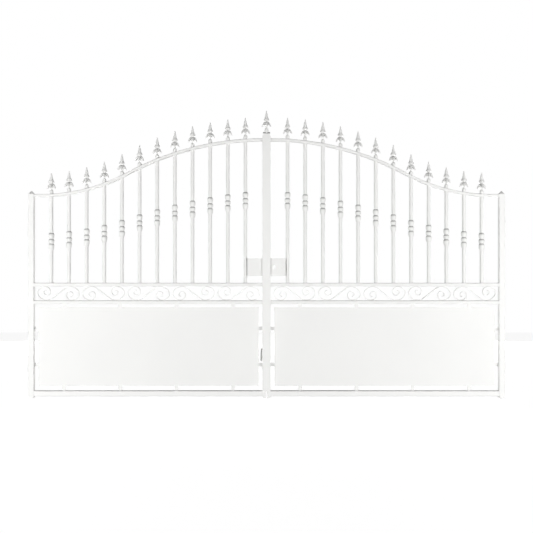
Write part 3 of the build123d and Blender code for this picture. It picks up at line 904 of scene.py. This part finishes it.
def block_grid():
    """Rounded rectangles over each other: four quarter circles, moved out to the corners at each height."""
    low, high = box_of("middle_base")
    quarter = np.linspace(0, np.pi / 2, CORNER_STEPS)
    angle = np.concatenate([quarter + turn for turn in np.arange(4) * np.pi / 2])
    sign_x = np.repeat([1, -1, -1, 1], CORNER_STEPS)
    sign_y = np.repeat([1, 1, -1, -1], CORNER_STEPS)
    length, depth = np.array(BLOCK_HALF_LENGTHS)[:, None], np.array(BLOCK_HALF_DEPTHS)[:, None]
    x = CENTRE_X + sign_x * (length - BLOCK_CORNER) + BLOCK_CORNER * np.cos(angle)
    y = (low[1] + high[1]) / 2 + sign_y * (depth - BLOCK_CORNER) + BLOCK_CORNER * np.sin(angle)
    z = low[2] + (high[2] - low[2]) * np.array(BLOCK_SHARES)[:, None] + np.zeros(len(angle))
    return np.stack([x, y, z], axis=-1), False


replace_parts(make_piece("middle_block", [block_grid()], cast_paint, "left_leaf"), "middle_base")

# %% [markdown]
# ## Anchor bolts
#
# Each hinge plate is held to its pillar by four M8 bolts with washers. A bolt head is a hexagon whose top has been
# turned to a cone, which leaves a rounded corner at each of its six points. Its side is a distance from the axis that
# depends on the angle: half the width over the cosine of the angle from the nearest flat. The cone takes off the more
# height the further a point lies beyond the flats.

# %% Bolt head and washer
HEAD_WIDTH = 0.013
HEAD_HEIGHT = 0.0053
HEAD_SLOPE = np.tan(np.radians(30))
HEAD_RIM_SHARE = 0.94
WASHER_RADIUS = 0.008
WASHER_HEIGHT = 0.0016
WASHER_EDGE = 0.0003
BOLT_SIDES = 24


def turned(centre, way, radii, heights):
    """Circles of given radius and height round an axis along x, as one grid; way is 1 or -1 along the axis."""
    angle = np.linspace(0, 2 * np.pi, BOLT_SIDES, endpoint=False)
    radii, heights = np.broadcast_arrays(radii, heights)
    x = centre[0] + way * heights
    y = centre[1] + radii * np.cos(angle)
    z = centre[2] + way * radii * np.sin(angle)
    return np.stack([x, y, z], axis=-1), False


def hexagon_head(centre, way):
    """Three outlines: the hexagon's foot, the wavy line where the cone cuts its sides, and the rim of the flat top."""
    angle = np.linspace(0, 2 * np.pi, BOLT_SIDES, endpoint=False)
    lean = (angle + np.pi / 6) % (np.pi / 3) - np.pi / 6
    side = HEAD_WIDTH / 2 / np.cos(lean)
    foot = np.full(BOLT_SIDES, WASHER_HEIGHT)
    top = WASHER_HEIGHT + HEAD_HEIGHT
    shoulder = top - (side - HEAD_WIDTH / 2) * HEAD_SLOPE - WASHER_EDGE
    rim = np.full(BOLT_SIDES, HEAD_WIDTH / 2 * HEAD_RIM_SHARE)
    radii = np.stack([side, side, rim])
    heights = np.stack([foot, shoulder, np.full(BOLT_SIDES, top)])
    return turned(centre, way, radii, heights)


def washer(centre, way):
    """Four circles: a disc with both its edges a little broken."""
    radii = np.array([WASHER_RADIUS - WASHER_EDGE, WASHER_RADIUS, WASHER_RADIUS, WASHER_RADIUS - WASHER_EDGE])
    heights = np.array([0.0, WASHER_EDGE, WASHER_HEIGHT - WASHER_EDGE, WASHER_HEIGHT])
    return turned(centre, way, radii[:, None], heights[:, None] + np.zeros(BOLT_SIDES))


# %% Bolts in the hinge plates
MILLIMETRE = 0.001


def anchor_bolts():
    """A washer and a head on the inner side of a plate at each hole of the record's bolt patterns."""
    made = []
    for mount in frame["record"]["mounts"]:
        if mount["kind"] != "bolt_pattern":
            continue
        way = -mount["axis"][0]
        middle = np.array(mount["pos_m"]) + (way * PLATE_THICKNESS, 0, 0)
        across = mount["dims"]["spacing_x_mm"] * MILLIMETRE / 2
        up = mount["dims"]["spacing_y_mm"] * MILLIMETRE / 2
        for side_y, side_z in ((-1, -1), (-1, 1), (1, -1), (1, 1)):
            centre = middle + (0, side_y * across, side_z * up)
            made += [washer(centre, way), hexagon_head(centre, way)]
    return made


make_piece("anchor_bolts", anchor_bolts(), zinc, "pillar_hinges")

# %% [markdown]
# ## The studio
#
# The gate hangs a little above the ground. The floor is pale and catches the shadow. Towards the camera, and in
# reflections, the room behind glows plain white. The floor glows a little less and the lamps make up the rest, so the
# gate stands free on white without any more light falling on it. The floor ends about a metre behind the rear lamps.
# No lamp lights that last metre, so it shows as a faint band beside the gate, and a deeper floor would show more.

# %% Floor
GROUND_GAP = 0.060
FLOOR_HALF = 6.0
FLOOR_GLOW = 0.93
FLOOR_COLOUR = (0.3, 0.3, 0.3, 1.0)
floor_z = FEET_Z - GROUND_GAP


def seen_directly(tree):
    """1 for camera, glossy and transmission rays and 0 for the rest, as the larger of the three."""
    path = add_node(tree, "ShaderNodeLightPath")
    first = add_node(tree, "ShaderNodeMath", operation="MAXIMUM")
    second = add_node(tree, "ShaderNodeMath", operation="MAXIMUM")
    tree.links.new(path.outputs["Is Camera Ray"], first.inputs[0])
    tree.links.new(path.outputs["Is Glossy Ray"], first.inputs[1])
    tree.links.new(first.outputs[0], second.inputs[0])
    tree.links.new(path.outputs["Is Transmission Ray"], second.inputs[1])
    return second.outputs[0]


def studio_floor():
    """A flat square under the gate: a pale matt surface plus a glow that only direct looks see."""
    corners = [(-1, -1), (1, -1), (1, 1), (-1, 1)]
    mesh = bpy.data.meshes.new("studio_floor")
    mesh.from_pydata([(CENTRE_X + FLOOR_HALF * x, FLOOR_HALF * y, floor_z) for x, y in corners], [], [(0, 1, 2, 3)])
    material = bpy.data.materials.new("pale_floor")
    material.use_nodes = True
    tree = material.node_tree
    shader = tree.nodes["Principled BSDF"]
    shader.inputs["Base Color"].default_value = FLOOR_COLOUR
    shader.inputs["Roughness"].default_value = 0.9
    shader.inputs["Specular IOR Level"].default_value = 0.0
    glow = add_node(tree, "ShaderNodeMath", {1: FLOOR_GLOW}, operation="MULTIPLY")
    tree.links.new(seen_directly(tree), glow.inputs[0])
    shader.inputs["Emission Color"].default_value = (1.0, 1.0, 1.0, 1.0)
    tree.links.new(glow.outputs[0], shader.inputs["Emission Strength"])
    mesh.materials.append(material)
    floor = bpy.data.objects.new("studio_floor", mesh)
    bpy.context.scene.collection.objects.link(floor)


studio_floor()
print("floor at", round(floor_z, 3))

# %% [markdown]
# The room gives a little light of its own, most of it from round the horizon and hardly any from above. An even white
# room would light every side alike. This way faces that look sideways keep some light, and faces that look up stay
# darker, as beside a low row of soft boxes.

# %% Room light
ROOM_ABOVE = 0.02
ROOM_LEVEL = 0.06
ROOM_BAND = 0.45


def white_room():
    """A grey room that is brightest at the horizon, falls off straight with height, and looks white."""
    world = bpy.data.worlds.new("white_room")
    world.use_nodes = True
    tree = world.node_tree
    background = tree.nodes["Background"]
    background.inputs["Color"].default_value = (1.0, 1.0, 1.0, 1.0)
    place = add_node(tree, "ShaderNodeTexCoord")
    axes = add_node(tree, "ShaderNodeSeparateXYZ")
    fall = add_node(tree, "ShaderNodeMapRange",
                    {"From Min": 0.0, "From Max": ROOM_BAND, "To Min": ROOM_LEVEL, "To Max": ROOM_ABOVE})
    shown = add_node(tree, "ShaderNodeMix", {"B": 1.0}, data_type="FLOAT")
    tree.links.new(place.outputs["Generated"], axes.inputs["Vector"])
    tree.links.new(axes.outputs["Z"], fall.inputs["Value"])
    tree.links.new(seen_directly(tree), shown.inputs["Factor"])
    tree.links.new(fall.outputs["Result"], shown.inputs["A"])
    tree.links.new(shown.outputs["Result"], background.inputs["Strength"])
    bpy.context.scene.world = world


white_room()
print("room light", ROOM_ABOVE, "above and", ROOM_LEVEL, "at the horizon")

# %% [markdown]
# ## Lamps
#
# Two wide soft boxes stand low in front of the gate, out to the left and to the right. Faces that look up then stay
# darker than the rest, and the foot of the gate comes out a little brighter than its top. A weaker pair stands behind
# the gate for its rear side and for the edges of the bars.

# %% Soft boxes
LAMP_WIDTH = 2.4
LAMP_HEIGHT = 0.7
LAMP_AIM_OUT = 1.0
LAMP_AIM_UP = 0.8
FRONT_LAMP = {"out": 4.4, "away": 4.3, "up": 0.35, "watts": 270.0}
REAR_LAMP = {"out": 2.6, "away": -5.0, "up": 0.35, "watts": 165.0}


def soft_box(name, side, out, away, up, watts):
    """A wide area lamp out to one side and away from the front plane, turned towards a point on the gate."""
    lamp = bpy.data.lights.new(name, "AREA")
    lamp.shape = "RECTANGLE"
    lamp.size = LAMP_WIDTH
    lamp.size_y = LAMP_HEIGHT
    lamp.energy = watts
    holder = bpy.data.objects.new(name, lamp)
    place = Vector((CENTRE_X + side * out, FRONT_Y - away, FEET_Z + up))
    aim = Vector((CENTRE_X + side * LAMP_AIM_OUT, MIDDLE_Y, FEET_Z + LAMP_AIM_UP))
    holder.location = place
    holder.rotation_euler = (aim - place).to_track_quat("-Z", "Y").to_euler()
    holder.visible_camera = False
    bpy.context.scene.collection.objects.link(holder)


for label, setting in (("front", FRONT_LAMP), ("rear", REAR_LAMP)):
    soft_box(f"left_{label}_soft_box", -1, **setting)
    soft_box(f"right_{label}_soft_box", 1, **setting)
print("front soft boxes of", FRONT_LAMP["watts"], "W, rear ones of", REAR_LAMP["watts"], "W")

# %% [markdown]
# ## Camera
#
# The picture looks straight at the gate from the street. The eye is at the height of the lock, and far enough for the
# gate to fill nine tenths of a square frame with a 50 mm lens.

# %% Camera
EYE_ABOVE_FEET = 0.967
EYE_DISTANCE = 5.434
camera_data = bpy.data.cameras.new("street_view")
camera_data.lens = 50.0
camera_data.sensor_width = 36.0
camera = bpy.data.objects.new("street_view", camera_data)
camera.location = (CENTRE_X, FRONT_Y - EYE_DISTANCE, FEET_Z + EYE_ABOVE_FEET)
camera.rotation_euler = (np.pi / 2, 0.0, 0.0)
bpy.context.scene.collection.objects.link(camera)
bpy.context.scene.camera = camera
bpy.context.scene.view_settings.view_transform = "Standard"
print("camera at", [round(v, 3) for v in camera.location])

# %% Last update of the scene
bpy.context.view_layer.update()
